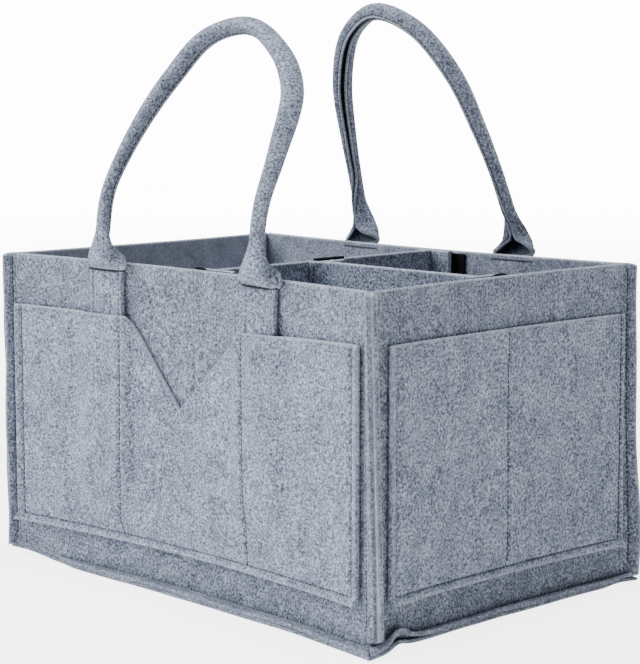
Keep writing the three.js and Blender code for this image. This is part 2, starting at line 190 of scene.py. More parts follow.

# "tape": places of a loop tape's rows of thread. "rise": how far the two corners stand off the ground.
# "flange": places along the wall and the flange's depth there. "lifts": where it lifts, how high, how wide.
# The inner-face share sets how much smoother grain and painted light go on the inside; the back wall, which
# the key light reaches, gets less.
WALLS = {
    "front": {
        **LONG_WALL, "turn": 0.0, "seed": 3.0, "smoothed_and_painted_light": 1.0, "tape": (5.5, 24.5),
        "fin_lean": (0.0, 5.0), "fin_lift": (0.4, 2.6), "rise": (4.5, 0.0),
        "flange": ((-150.0, 0.4), (-112.0, 0.6), (-100.0, 4.0), (-60.0, 7.0), (-10.0, 8.6), (70.0, 8.0),
                   (150.0, 7.0)),
        "lifts": ((-110.0, 0.8, 24.0), (-20.0, 0.6, 30.0), (90.0, 0.9, 26.0)),
    },
    "right": {
        **SHORT_WALL, "turn": 90.0, "seed": 17.0, "smoothed_and_painted_light": 1.0, "tape": (-7.0, 13.0),
        "fin_lean": (5.0, 0.0), "fin_lift": (2.6, 0.6), "rise": (0.0, 0.0),
        "flange": ((-105.0, 7.0), (-84.0, 5.6), (-60.0, 4.6), (-35.0, 4.0), (-10.0, 5.0), (10.0, 5.4),
                   (85.0, 4.5), (105.0, 2.2)),
        "lifts": ((-87.0, 6.5, 8.0), (-75.0, 1.6, 10.0), (0.0, 0.6, 16.0), (60.0, 0.3, 22.0),
                  (104.0, 1.6, 9.0)),
    },
    "back": {
        **LONG_WALL, "turn": 180.0, "seed": 31.0, "smoothed_and_painted_light": 0.4, "tape": (-38.0, -18.0),
        "fin_lean": (0.0, 1.5), "fin_lift": (0.6, 2.6), "rise": (0.0, 0.0),
        "flange": ((-150.0, 0.5), (-130.0, 6.0), (-40.0, 7.8), (60.0, 6.2), (150.0, 6.5)),
        "lifts": ((-148.0, 1.6, 9.0), (-70.0, 0.8, 24.0), (40.0, 0.7, 30.0)),
    },
    "left": {
        **SHORT_WALL, "turn": -90.0, "seed": 47.0, "smoothed_and_painted_light": 1.0, "tape": (),
        "fin_lean": (1.5, 0.0), "fin_lift": (2.6, 0.4), "rise": (0.0, 4.5),
        "flange": ((-105.0, 6.5), (0.0, 7.2), (60.0, 4.0), (105.0, 1.0)),
        "lifts": ((-40.0, 0.8, 20.0), (60.0, 1.0, 18.0)),
    },
}


def felt_material(name, shade):
    """Bluish grey felt pressed from light and dark fibres, with a soft nap, and painted light and shade set
    by the pieces' attributes.
    """
    material, tree, shader, place = new_material(name)

    def speckle(scale, detail, stretch=(1.0, 1.0, 1.0), turn=(0.0, 0.0, 0.0)):
        mapping = add_node(tree, "Mapping", {"Vector": place, "Scale": stretch, "Rotation": turn})
        texture = add_node(tree, "TexNoise", {"Vector": mapping.outputs["Vector"], "Scale": scale,
                                              "Detail": detail, "Roughness": 0.65})
        return texture.outputs["Fac"]

    def ramp(value, stops, shade_of=1.0):
        node = add_node(tree, "ValToRGB", {"Fac": value})
        node.color_ramp.elements.remove(node.color_ramp.elements[1])
        for k, (position, colour) in enumerate(stops):
            element = node.color_ramp.elements[0] if k == 0 else node.color_ramp.elements.new(position)
            element.position = position
            element.color = (*(shade_of * c for c in np.broadcast_to(colour, 3)), 1.0)
        return node.outputs["Color"]

    def mix(kind, amount, first, second):
        node = add_node(tree, "Mix")
        node.data_type = "RGBA"
        node.blend_type = kind
        set_inputs(node, {"Factor": amount, "A": first, "B": second})
        return node.outputs["Result"]

    def grade(attribute):
        node = add_node(tree, "Attribute")
        node.attribute_name = attribute
        return node.outputs["Fac"]

    wool = ramp(speckle(780.0, 2.0), [(0.32, (0.07, 0.078, 0.106)), (0.43, (0.212, 0.235, 0.307)),
                                      (0.53, (0.35, 0.385, 0.487)), (0.70, (0.69, 0.74, 0.88))], shade)
    clouds = speckle(75.0, 5.0)
    cloud = ramp(clouds, [(0.3, 0.19), (0.7, 0.81)])
    first_fibres = ramp(speckle(440.0, 2.0, (1.0, 4.5, 4.5), (0.5, 0.4, 0.7)),
                        [(0.38, 0.22), (0.5, 0.5), (0.66, 0.8)])
    second_fibres = ramp(speckle(410.0, 2.0, (4.5, 4.5, 1.0), (0.6, 1.1, 0.2)),
                         [(0.36, 0.2), (0.5, 0.5), (0.64, 0.82)])
    colour = mix("OVERLAY", 0.49, wool, first_fibres)
    colour = mix("OVERLAY", 0.49, colour, second_fibres)
    colour = mix("OVERLAY", 0.5, colour, cloud)
    # Smoother, lighter felt for the inner wall faces: partly pressed felt, partly painted light.
    smoothed_and_painted_light = ramp(clouds, [(0.3, (0.58, 0.59, 0.72)), (0.7, (0.88, 0.9, 1.0))], shade)
    flat_share = add_node(tree, "MapRange", {"Value": grade("smoothed_and_painted_light"), "To Max": 0.48})
    colour = mix("MIX", flat_share.outputs["Result"], colour, smoothed_and_painted_light)
    # Painted shade: this attribute darkens the handles' seam sides and insides and the straps' right sides.
    painted_shade_colour = ramp(grade("painted_shade"), [(0.0, 1.0), (1.0, (0.12, 0.125, 0.135))])
    colour = mix("MULTIPLY", 1.0, colour, painted_shade_colour)
    # Cut edges are screened lighter: partly their loose fibres, partly a painted highlight where light
    # catches them.
    edge_fuzz_and_highlight = ramp(grade("cut_edge"), [(0.0, 0.0), (1.0, (0.38, 0.41, 0.47))])
    colour = mix("SCREEN", 1.0, colour, edge_fuzz_and_highlight)
    height = mix("MIX", 0.5, first_fibres, second_fibres)
    nap = add_node(tree, "Bump", {"Strength": 0.45, "Distance": 0.0006, "Height": height})
    set_inputs(shader, {"Base Color": colour, "Normal": nap.outputs["Normal"], "Roughness": 0.95,
                        "Specular IOR Level": 0.15, "Sheen Weight": 0.25, "Sheen Roughness": 0.5,
                        "Sheen Tint": (0.85, 0.88, 0.95, 1.0)})
    return material


def thread_material(name, dark, light):
    """Spun polyester thread, twisted, with a slight shine."""
    material, tree, shader, place = new_material(name)
    strands = add_node(tree, "TexNoise", {"Vector": place, "Scale": 2400.0, "Detail": 2.0}).outputs["Fac"]
    shades = add_node(tree, "ValToRGB", {"Fac": strands})
    for element, position, colour in zip(shades.color_ramp.elements, (0.35, 0.7), (dark, light)):
        element.position = position
        element.color = (*colour, 1.0)
    twist = add_node(tree, "Bump", {"Strength": 0.4, "Distance": 0.0002, "Height": strands})
    set_inputs(shader, {"Base Color": shades.outputs["Color"], "Normal": twist.outputs["Normal"],
                        "Roughness": 0.7})
    return material


grey_felt = felt_material("grey_felt", 1.0)
# The walls and base use the same felt painted darker by 0.81, as painted shade.
wall_felt_with_painted_shade = felt_material("wall_felt_with_painted_shade", 0.81)
dark_thread = thread_material("dark_thread", (0.018, 0.02, 0.027), (0.06, 0.066, 0.08))
grey_thread = thread_material("grey_thread", (0.09, 0.1, 0.125), (0.24, 0.265, 0.32))


def stops(low, high, step, creases=()):
    """Places along a sheet, closer together at its two edges and at its creases."""
    places = list(np.linspace(low, high, int((high - low) / step) + 2))
    places += [low + d for d in EDGE_STEPS] + [high - d for d in EDGE_STEPS]
    places += [c + d for c in creases for d in CREASE_STEPS if low < c + d < high]
    kept = []
    for value in sorted(places):
        if not kept or value - kept[-1] > CLOSEST_STEP:
            kept.append(value)
    kept[-1] = high
    return np.array(kept)


def unit(value):
    """The value, kept between 0 and 1."""
    return np.clip(value, 0.0, 1.0)


def within(value, low, high):
    """Distance from the nearer of two edges."""
    return np.minimum(value - low, high - value)


def soft_edge(distance, rounding=1.1, at_edge=0.62):
    """Share of the felt's thickness this far from a cut edge."""
    inside = unit(distance / rounding)
    return at_edge + (1.0 - at_edge) * np.sqrt(1.0 - (1.0 - inside) ** 2)


def dent(distance, depth=0.95, width=0.95):
    """Depth to which a row of stitches pulls the felt in."""
    return depth * np.exp(-(distance / width) ** 2)


def smooth(value, low, high):
    """Eased rise from 0 at low to 1 at high."""
    t = unit((value - low) / (high - low))
    return t * t * (3.0 - 2.0 * t)


def directions(steps):
    """Steps of any length, made 1 long."""
    return steps / np.linalg.norm(steps, axis=-1, keepdims=True)


def felt_sheet(us, vs, middle, face_half, back_half, fuzz_and_highlight=1.0):
    """Closed sheet about the surface middle(u, v): points, faces and looks; the last argument lightens its
    cut edges, partly as loose fibres and partly as a painted highlight.
    """
    u, v = np.meshgrid(us, vs, indexing="ij")
    centre = middle(u, v)
    normal = directions(np.cross(np.gradient(centre, axis=0), np.gradient(centre, axis=1)))
    face = centre + normal * face_half(u, v)[..., None]
    back = centre - normal * back_half(u, v)[..., None]
    at = np.arange(u.size).reshape(u.shape)
    under = at + u.size

    rim = np.concatenate([at[:-1, 0], at[-1, :-1], at[:0:-1, -1], at[0, :0:-1]])
    ahead = np.roll(np.arange(len(rim)), -1)
    middle_line = np.arange(len(rim)) + 2 * u.size
    outward = np.zeros_like(centre)
    for edge, inner in ((0, 1), (-1, -2)):
        outward[:, edge] += directions(centre[:, edge] - centre[:, inner])
        outward[edge] += directions(centre[edge] - centre[inner])
    edge_line = (centre + EDGE_BULGE * outward).reshape(-1, 3)[rim]

    def quads(a, b, c, d):
        return np.stack([a, b, c, d], axis=-1).reshape(-1, 4)

    faces = np.concatenate([
        quads(at[:-1, :-1], at[1:, :-1], at[1:, 1:], at[:-1, 1:]),
        quads(under[:-1, :-1], under[:-1, 1:], under[1:, 1:], under[1:, :-1]),
        quads(rim[ahead], rim, middle_line, middle_line[ahead]),
        quads(middle_line[ahead], middle_line, rim + u.size, rim[ahead] + u.size),
    ])
    inside = []
    for axis in (0, 1):
        step = np.linalg.norm(np.diff(centre, axis=axis), axis=2)
        reach = np.cumsum(step, axis=axis)
        reach = np.concatenate([np.zeros_like(reach.take([0], axis)), reach], axis=axis)
        inside.append(np.minimum(reach, reach.take([-1], axis) - reach))
    cut = fuzz_and_highlight * unit(1 - np.minimum(*inside) / CUT_EDGE).ravel()
    verts = np.concatenate([face.reshape(-1, 3), back.reshape(-1, 3), edge_line])
    look = np.zeros((len(verts), len(LOOKS)))
    look[:, CUT] = np.concatenate([cut, cut, np.full(len(rim), EDGE_CORE * fuzz_and_highlight)])
    return verts, faces, look


def on_sheet(middle, us, vs, height):
    """Points over a sheet's middle surface along the line us, vs, and the directions square to it there."""
    us, vs = np.broadcast_arrays(us, vs)
    step = 0.05
    across = middle(us + step, vs) - middle(us - step, vs)
    along = middle(us, vs + step) - middle(us, vs - step)
    normal = directions(np.cross(across, along))
    return middle(us, vs) + normal * height, normal * np.sign(height)


STITCH_PITCH = 2.8
STITCH_LENGTH = 2.5
THREAD_RADIUS = 0.35
THREAD_SIDES = 5

# Rings of one stitch: the place along it, the share of the thread's radius, and the height over the felt.
STITCH_RINGS = np.array([[0.0, 0.3, -0.3], [0.2, 0.9, 0.05], [0.5, 1.0, 0.15], [0.8, 0.9, 0.05],
                         [1.0, 0.3, -0.3]])


def way_along(points):
    """How far each point of a line lies along it."""
    return np.concatenate([[0.0], np.cumsum(np.linalg.norm(np.diff(points, axis=0), axis=1))])


def stitches(middle, us, vs, height, pitch=STITCH_PITCH, length=STITCH_LENGTH, radius=THREAD_RADIUS):
    """Row of separate stitches over a sheet along the line us, vs, each dipping into it at both ends."""
    points, normals = on_sheet(middle, us, vs, height)
    reach = way_along(points)
    count = max(1, int(reach[-1] / pitch))
    start = (np.arange(count) + 0.5) * reach[-1] / count - length / 2
    s = start[:, None] + STITCH_RINGS[None, :, 0] * length

    def along(values, where):
        return np.stack([np.interp(where, reach, values[:, k]) for k in range(3)], axis=-1)

    up = directions(along(normals, s))
    step = 0.1
    ahead = along(points, s + step) - along(points, s - step)
    ahead /= np.linalg.norm(ahead, axis=-1, keepdims=True) + 1e-9
    side = np.cross(up, ahead)
    centre = along(points, s) + up * STITCH_RINGS[None, :, 2:3]
    angle = 2 * np.pi * np.arange(THREAD_SIDES) / THREAD_SIDES
    ring = np.cos(angle)[:, None] * up[..., None, :] + np.sin(angle)[:, None] * side[..., None, :]
    verts = centre[..., None, :] + ring * (radius * STITCH_RINGS[None, :, 1])[..., None, None]
    rings = len(STITCH_RINGS)
    faces = []
    for k in range(count):
        first = k * rings * THREAD_SIDES
        for r in range(rings - 1):
            for c in range(THREAD_SIDES):
                a = first + r * THREAD_SIDES + c
                b = first + r * THREAD_SIDES + (c + 1) % THREAD_SIDES
                faces.append((a, a + THREAD_SIDES, b + THREAD_SIDES, b))
        faces.append(tuple(first + c for c in range(THREAD_SIDES)))
        faces.append(tuple(first + (rings - 1) * THREAD_SIDES + c for c in reversed(range(THREAD_SIDES))))
    return verts.reshape(-1, 3), faces, np.zeros((verts.size // 3, len(LOOKS)))


FAR_CORNER = np.array([3.3, 3.3, 0.0])
FAR_CORNER_X = (130.0, 150.0)
FAR_CORNER_Y = (92.0, 109.0)
FAR_CORNER_Z = (10.0, 135.0)


def spread_corner(points):
    """The far right corner of the box stands out a little at the bottom."""
    x, y, z = points.T
    share = smooth(x, *FAR_CORNER_X) * smooth(y, *FAR_CORNER_Y) * (1 - smooth(z, *FAR_CORNER_Z))
    return points + share[:, None] * FAR_CORNER


def add_piece(name, shells, material, body, turn=0.0, nodes=()):
    """One object of closed shells in millimetres, turned about the box's middle, riding on a body."""
    verts, faces, looks, first = [], [], [], 0
    for shell_verts, shell_faces, look in shells:
        verts.append(shell_verts)
        looks.append(look)
        faces += [[int(i) + first for i in face] for face in shell_faces]
        first += len(shell_verts)
    c, s = math.cos(math.radians(turn)), math.sin(math.radians(turn))
    points = np.concatenate(verts) @ np.array([[c, s, 0.0], [-s, c, 0.0], [0.0, 0.0, 1.0]])
    if body == "shell":
        points = spread_corner(points)
    mesh = bpy.data.meshes.new(name)
    mesh.from_pydata((0.001 * points).tolist(), [], faces)
    mesh.polygons.foreach_set("use_smooth", [True] * len(mesh.polygons))
    mesh.materials.append(material)
    for attribute, values in zip(LOOKS, np.concatenate(looks).T):
        data = mesh.attributes.new(attribute, "FLOAT", "POINT").data
        data.foreach_set("value", np.ascontiguousarray(values))
    piece = add_object(name, mesh)
    if body:
        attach(piece, body)
    if nodes:
        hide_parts(*nodes)
    return piece


def add_to_wall(name, shells, material, wall, nodes=()):
    """One piece of the shell, built as on the front wall and turned to its own wall."""
    add_piece(name, shells, material, "shell", wall["turn"], nodes)


def outer_face(wall, x, z):
    """y of a wall's outer face, bowed in and slightly uneven as felt is."""
    share = unit(np.abs(2 * x / wall["length"]))
    past = np.maximum(0.0, np.abs(x) - wall["length"] / 2)
    bowed = wall["bow"] * (1 - share ** 2) - 4 * wall["bow"] / wall["length"] * past
    uneven = (np.sin(0.043 * x + wall["seed"]) * np.sin(0.037 * z + 1.7 * wall["seed"])
              + 0.6 * np.sin(0.081 * x - 0.05 * z + wall["seed"]))
    tucked = TUCK * np.exp(-((z - TUCK_HEIGHT) / TUCK_REACH) ** 2)
    return -wall["depth"] / 2 + bowed + (tucked - UNEVEN * uneven) * (1 - share ** 2)


PLAN_STEP = 0.2
PLAN_SPARE = 4.0
ROUNDING_STEPS = 12


def wall_plan(wall):
    """Plan of one panel: along its middle, round each corner and out along the standing seam."""
    corner = wall["length"] / 2
    half_seam = FELT / 2 + SEAM_GAP
    slope = 4 * wall["bow"] / wall["length"]
    bend = corner - (FELT / 2 + math.sqrt(2) * half_seam) / (1 - slope)
    reach = bend + FIN_LENGTH
    u = np.arange(-reach - PLAN_SPARE, reach + PLAN_SPARE, PLAN_STEP)
    past = np.maximum(0.0, np.abs(u) - bend)
    x = np.clip(u, -bend, bend) + np.sign(u) * past / math.sqrt(2)
    share = np.clip(u, -bend, bend) * 2 / wall["length"]
    y = -wall["depth"] / 2 + wall["bow"] * (1 - share ** 2) + FELT / 2 - past / math.sqrt(2)
    kernel = np.exp(-(np.arange(-ROUNDING_STEPS, ROUNDING_STEPS + 1) * PLAN_STEP) ** 2)
    kernel /= kernel.sum()
    keep = slice(ROUNDING_STEPS, len(u) - ROUNDING_STEPS)
    return {"bend": bend, "reach": reach, "u": u[keep],
            "x": np.convolve(x, kernel, "same")[keep], "y": np.convolve(y, kernel, "same")[keep]}


def fin_share(plan, u):
    """0 on the wall itself, rising to 1 at the cut edge of a fin."""
    return unit((np.abs(u) - plan["bend"]) / FIN_LENGTH)


def fin_splay(past):
    """How far the loose edge of a fin swells beyond its row of stitches."""
    return FIN_SPLAY * np.maximum(0.0, (past - SPLAY_FROM) / (1 - SPLAY_FROM)) ** 1.5


def corner_rise(wall, x):
    """How far a corner of the box stands off the ground near the ends of a wall."""
    from_end = wall["length"] / 2 - np.abs(x)
    return np.where(x < 0, *wall["rise"]) * (1 - smooth(from_end, 0.0, RISE_REACH))


def wall_middle(wall, plan):
    """The upright part of a wall, with a fin at each end that leans, lifts and droops as it was sewn."""
    def middle(u, z):
        past = fin_share(plan, u)
        low = unit(1 - (z - WALL_BOTTOM) / FIN_LIFT_HEIGHT)
        lift = np.where(u < 0, *wall["fin_lift"])
        z = z + RISE_SHARE * corner_rise(wall, u) * low
        droop = FIN_DROOP * past ** 4 * smooth(z, RIM - DROOP_HEIGHT, RIM)
        z = z + lift * (smooth(past, 0.0, 0.3) + past ** 3) * low - droop
        u = u + np.sign(u) * past * FIN_WAVE * np.sin(0.07 * z + wall["seed"] + np.sign(u))
        x = np.interp(u, plan["u"], plan["x"])
        flat = outer_face({**wall, "bow": 0.0}, x, z) + wall["depth"] / 2
        lean = np.where(u < 0, *wall["fin_lean"]) * past ** 1.5 * (1 - z / RIM) / math.sqrt(2)
        splay = fin_splay(past) / math.sqrt(2)
        y = np.interp(u, plan["u"], plan["y"]) + flat + np.sign(u) * lean - splay
        return np.stack([x + lean - np.sign(u) * splay, y, z + 0 * x], axis=-1)
    return middle


def flange_depth(wall, x):
    """How far the bottom allowance stands out at this place along a wall."""
    return np.interp(x, *zip(*wall["flange"]))


def flange_lift(wall, x):
    """How far the flange lifts off the ground at this place along a wall."""
    return sum(height * np.exp(-((x - place) / width) ** 2) for place, height, width in wall["lifts"])


def flange_middle(wall):
    """The bottom allowance, from its outer edge in to the wall and a little way up it."""
    flat_length = FLANGE_DEPTH - FLANGE_TURN + FELT / 2
    quarter = FLANGE_TURN * math.pi / 2

    def middle(u, v):
        angle = np.clip((v - flat_length) / FLANGE_TURN, 0.0, math.pi / 2)
        out = FLANGE_DEPTH - np.minimum(v, flat_length) - FLANGE_TURN * np.sin(angle)
        z = BASE_EDGE + SEAM_GAP + FLANGE_HALF + FLANGE_TURN * (1 - np.cos(angle))
        z = z + np.maximum(0.0, v - flat_length - quarter)
        depth = flange_depth(wall, u * wall["length"] / 2)
        share = unit((out + FELT / 2) / FLANGE_DEPTH)
        out = np.where(out > 0, out * depth / FLANGE_DEPTH, out)
        x = u * (wall["length"] / 2 + out)
        z = z + flange_lift(wall, x) * share + corner_rise(wall, x)
        return np.stack([x, outer_face(wall, x, z) - out, z], axis=-1)
    return middle, flat_length + quarter + FLANGE_OVERLAP


for name, wall in WALLS.items():
    plan = wall_plan(wall)
    middle = wall_middle(wall, plan)
    reach = plan["reach"]
    fin_line = reach - FIN_STITCH
    rows = stops(WALL_BOTTOM, RIM, step=5.5)
    columns = stops(-reach, reach, 5.5, (-fin_line, fin_line, -plan["bend"], plan["bend"], *wall["tape"]))

    def wall_face(u, v):
        edge = np.minimum(within(u, -reach, reach), within(v, WALL_BOTTOM, RIM))
        pull = dent(np.abs(np.abs(u) - fin_line)) + sum(dent(u - x, depth=0.35) for x in wall["tape"])
        return FELT / 2 * soft_edge(edge) - pull

    def wall_back(u, v):
        upright_edge = soft_edge(within(v, WALL_BOTTOM, RIM))
        edge_share = np.minimum(upright_edge, soft_edge(reach - np.abs(u), rounding=0.4, at_edge=0.8))
        return FELT / 2 * edge_share + fin_splay(fin_share(plan, u))

    upright = felt_sheet(columns, rows, middle, wall_face, wall_back, fuzz_and_highlight=0.85)
    points, _, look = upright
    # The rim's cut edge is painted lighter than the wall's other edges, as a painted highlight along the lit
    # rim.
    at_rim = smooth(points[:, 2], *RIM_EDGE)
    outside = columns.size * rows.size
    look[:outside, CUT] *= OUTSIDE_SHARE + (1 - OUTSIDE_SHARE) * at_rim[:outside]
    look[outside:, CUT] *= at_rim[outside:]
    # Inner face: smoother grain and painted light, mixed in by the wall's inner-face share.
    look[outside:2 * outside, SMOOTHED_AND_PAINTED_LIGHT] = wall["smoothed_and_painted_light"]
    flange, flange_reach = flange_middle(wall)
    across = stops(0.0, flange_reach, step=3.0, creases=(FLANGE_STITCH,))

    def flange_half(u, v):
        edge = np.minimum(within(v, 0.0, flange_reach), (1 - np.abs(u)) * wall["length"] / 2)
        return FLANGE_HALF * soft_edge(edge, rounding=0.4) - dent(v - FLANGE_STITCH, depth=0.5)

    places = np.unique(np.round(np.concatenate([np.linspace(-1, 1, 101), [-0.996, 0.996]]), 4))
    turned_out = felt_sheet(places, across, flange, flange_half, flange_half, fuzz_and_highlight=0.25)
    add_to_wall(f"{name}_wall", [upright, turned_out], wall_felt_with_painted_shade, wall, [f"{name}_panel"])

    up = np.linspace(WALL_BOTTOM + 8, RIM - 2, 120)
    threads = [stitches(middle, side * fin_line, up, SEAM_THREAD) for side in (-1, 1)]
    if wall["tape"]:
        tape_rows = [stitches(middle, x, up, TAPE_THREAD) for x in wall["tape"]]
        add_to_wall(f"{name}_tape_thread", tape_rows, grey_thread, wall)
    along = np.linspace(-0.97, 0.97, 300)
    threads.append(stitches(flange, along, FLANGE_STITCH, SEAM_THREAD))
    add_to_wall(f"{name}_wall_thread", threads, dark_thread, wall)

# Base panel: one flat felt sheet cut to the outline of the turned-out allowances and sewn under them.
# Its cut edge lies in line with theirs, and lifts off the ground here and there.

BASE_PRESSED = (6.0, 16.0)
BASE_LIFT_REACH = 16.0
BASE_LIFT_SHARE = 0.45


def base_edge(u, v):
    """Distance from the base panel's cut edge."""
    return np.minimum((1 - np.abs(u)) * LONG_WALL["length"] / 2, (1 - np.abs(v)) * SHORT_WALL["length"] / 2)


def base_thickness(u, v):
    """The felt is pressed thinner where the seam runs round it."""
    return BASE_EDGE + (FELT - BASE_EDGE) * smooth(base_edge(u, v), *BASE_PRESSED)


def base_middle(u, v):
    """Sheet stretched between the edges of the four allowances; u and v run from -1 to 1."""
    along_x = u * (LONG_WALL["length"] / 2 + FLANGE_DEPTH)
    along_y = v * (SHORT_WALL["length"] / 2 + FLANGE_DEPTH)

    def edge(name, place):
        wall = WALLS[name]
        return flange_depth(wall, place) - outer_face(wall, place, WALL_BOTTOM + 0 * place)

    front, back = -edge("front", along_x), edge("back", -along_x)
    left, right = -edge("left", -along_y), edge("right", along_y)
    x = left + (right - left) * (u + 1) / 2
    y = front + (back - front) * (v + 1) / 2
    lift = 0.0 * x
    for name, place, gap in (("front", along_x, y - front), ("back", -along_x, back - y),
                             ("left", -along_y, x - left), ("right", along_y, right - x)):
        near = unit(1 - gap / BASE_LIFT_REACH) ** 2
        lift = lift + BASE_LIFT_SHARE * flange_lift(WALLS[name], place) * near
        lift = np.maximum(lift, corner_rise(WALLS[name], place) * unit(1 - gap / RISE_REACH) ** 2)
    return np.stack([x, y, base_thickness(u, v) / 2 + lift], axis=-1)


def base_half(u, v):
    return base_thickness(u, v) / 2 * soft_edge(base_edge(u, v), rounding=0.4)


def base_places(half):
    """Places from -1 to 1, closer together at both ends."""
    near_edge = np.array([1 - d / half for d in EDGE_STEPS])
    return np.unique(np.round(np.concatenate([np.linspace(-1, 1, 81), near_edge, -near_edge]), 5))


base = felt_sheet(base_places(LONG_WALL["length"] / 2), base_places(SHORT_WALL["length"] / 2),
                  base_middle, base_half, base_half, fuzz_and_highlight=0.15)
add_piece("base_felt", [base], wall_felt_with_painted_shade, "shell", nodes=["base_panel"])

# Pocket panels: one felt sheet on each wall, sewn down near its sides and bottom and along upright partings.
# The long ones have a V cut in the middle and climb over the handle straps. All mouths hang nearly closed.

POCKET_STITCH = 3.3
SIDE_MARGIN = 4.6
SIDE_LIFT = 1.2
SIDE_THREAD = 0.5
POCKET_LIP = 3.4
MOUTH_OPEN = 0.3
MOUTH_REACH = 30.0
MOUTH_FROM = 100.0
MOUTH_CUT = 0.85
EDGE_ROWS = 12.0
FIRM_EDGE = {"rounding": 0.6, "at_edge": 0.85}
SIDE_SHARE = 0.4
STRAP_CENTRES = {"front": (-64.7, 63.3), "back": (-67.5, 56.0)}
STRAP_WIDTH = 26.6
STRAP_BOTTOM = 70.0
CLIMB_REACH = 30.0
CLIMB_ASIDE = 10.0
PARTING_DRIFT = 4.2
DRIFT_WIDTH = 18.0
LONG_POCKET = {
    "low": -143.0, "high": 143.0, "top": 154.0, "bottom": 24.0, "margins": (SIDE_MARGIN, SIDE_MARGIN),
    "partings": (-51.5, 51.5), "notch": ((-47.5, 154.0), (-4.5, 105.5), (48.0, 154.0), (143.0, 157.0)),
}
SHORT_POCKET = {
    "low": -92.5, "high": 97.4, "top": 156.0, "bottom": 23.0, "margins": (SIDE_MARGIN, 1.9),
    "partings": (2.7,), "notch": (),
}


def pocket_edge(pocket, x):
    """Height of the pocket's top edge."""
    if not pocket["notch"]:
        return pocket["top"] + 0 * x
    return np.interp(x, *zip(*pocket["notch"]))


def side_seams(pocket):
    """Places of the two rows of stitches along the pocket's sides."""
    return pocket["low"] + pocket["margins"][0], pocket["high"] - pocket["margins"][1]


def pocket_middle(wall, pocket):
    """A pocket's sheet over x and v, which runs from its bottom edge to its top edge, and how far v runs."""
    full = pocket["top"] - pocket["bottom"]
    first, last = side_seams(pocket)
    seams = [first, *pocket["partings"], last]

    def middle(x, v):
        top = pocket_edge(pocket, x)
        down = full - v
        body = (full - EDGE_ROWS - down) / (full - 2 * EDGE_ROWS)
        z = pocket["bottom"] + EDGE_ROWS + (top - pocket["bottom"] - 2 * EDGE_ROWS) * body
        z = np.where(down < EDGE_ROWS, top - down, z)
        z = np.where(v < EDGE_ROWS, pocket["bottom"] + v, z)
        puff = 0.0 * x
        for low, high in zip(seams, seams[1:]):
            across = unit((x - low) / (high - low))
            puff = puff + np.sin(np.pi * across) ** 0.8
        opening = smooth(z, pocket["bottom"] + POCKET_STITCH, pocket["top"] - MOUTH_REACH)
        lift = LAYER_GAP + MOUTH_OPEN * puff * opening
        if pocket["notch"]:
            aside = np.minimum(*(np.abs(x - centre) for centre in wall["straps"])) - STRAP_WIDTH / 2
            over_strap = smooth(z, STRAP_BOTTOM - CLIMB_REACH, STRAP_BOTTOM)
            climb = (1 - smooth(aside, FELT / 2, CLIMB_ASIDE)) * over_strap
            lift = lift + (FELT + LAYER_GAP) * climb
            drawn = PARTING_DRIFT * np.exp(-((x - pocket["partings"][0]) / DRIFT_WIDTH) ** 2)
            x = x - drawn * (1 - over_strap) * smooth(v, 0.0, EDGE_ROWS)
        lift = lift + POCKET_LIP * unit(1 - v / POCKET_STITCH)
        from_side = within(x, pocket["low"], pocket["high"])
        lift = lift + SIDE_LIFT * unit(1 - from_side / SIDE_MARGIN)
        return np.stack([x, outer_face(wall, x, z) - lift - FELT / 2, z], axis=-1)
    return middle, full


for name, wall in WALLS.items():
    pocket = LONG_POCKET if wall["length"] == LONG_WALL["length"] else SHORT_POCKET
    wall["straps"] = STRAP_CENTRES.get(name, ())
    middle, full = pocket_middle(wall, pocket)
    sides = side_seams(pocket)
    seams = (*sides, *pocket["partings"])
    creases = [*seams, *(place for place, _ in pocket["notch"])]
    columns = stops(pocket["low"], pocket["high"], step=5.0, creases=creases)
    rows = stops(0.0, full, step=5.0, creases=(POCKET_STITCH,))

    def pocket_half(x, v):
        side_edge = soft_edge(within(x, pocket["low"], pocket["high"]), **FIRM_EDGE)
        top_edge = soft_edge(within(v, 0.0, full), rounding=2.6, at_edge=0.25)
        pull = dent(v - POCKET_STITCH) * (x > sides[0]) * (x < sides[1])
        for seam in seams:
            pull = np.maximum(pull, dent(x - seam, depth=1.2) * (v > POCKET_STITCH))
        return FELT / 2 * np.minimum(top_edge, side_edge) - pull

    def pocket_back(x, v):
        from_edge = np.minimum(within(x, pocket["low"], pocket["high"]), within(v, 0.0, full))
        return FELT / 2 * soft_edge(from_edge, **FIRM_EDGE)

    sheet = felt_sheet(columns, rows, middle, pocket_half, pocket_back)
    points, _, look = sheet
    below_top = np.tile(full - rows, 2 * columns.size)
    # Cut-edge lightening, partly loose fibres and partly painted highlight, stays full only along the top
    # edge.
    look[:below_top.size, CUT] *= np.where(below_top < CUT_EDGE, 1.0, SIDE_SHARE)
    # Above MOUTH_FROM the cut face is painted much lighter, as painted light on a face that lies in shade.
    edge_height = points[below_top.size:, 2]
    look[below_top.size:, CUT] = np.where(edge_height > MOUTH_FROM, MOUTH_CUT, EDGE_CORE)
    add_to_wall(f"{name}_pocket_felt", [sheet], grey_felt, wall, [f"{name}_pocket"])

    down = np.linspace(full - 1.5, POCKET_STITCH, 160)
    across = np.linspace(*sides, 300)
    threads = [stitches(middle, x, down, SIDE_THREAD) for x in seams]
    threads.append(stitches(middle, across, POCKET_STITCH, SEAM_THREAD))
    add_to_wall(f"{name}_pocket_thread", threads, dark_thread, wall)

# Handle straps: four flat felt strips sewn to the outside of the long walls along both edges. Each runs from
# the rim, under a handle's foot, to well below the mouth of the pocket that covers it. A row of thick thread
# holds the foot to the strap, drawn thick and unbroken so that it also stands in as painted shadow in the
# crease under the foot, and another shows inside the wall.

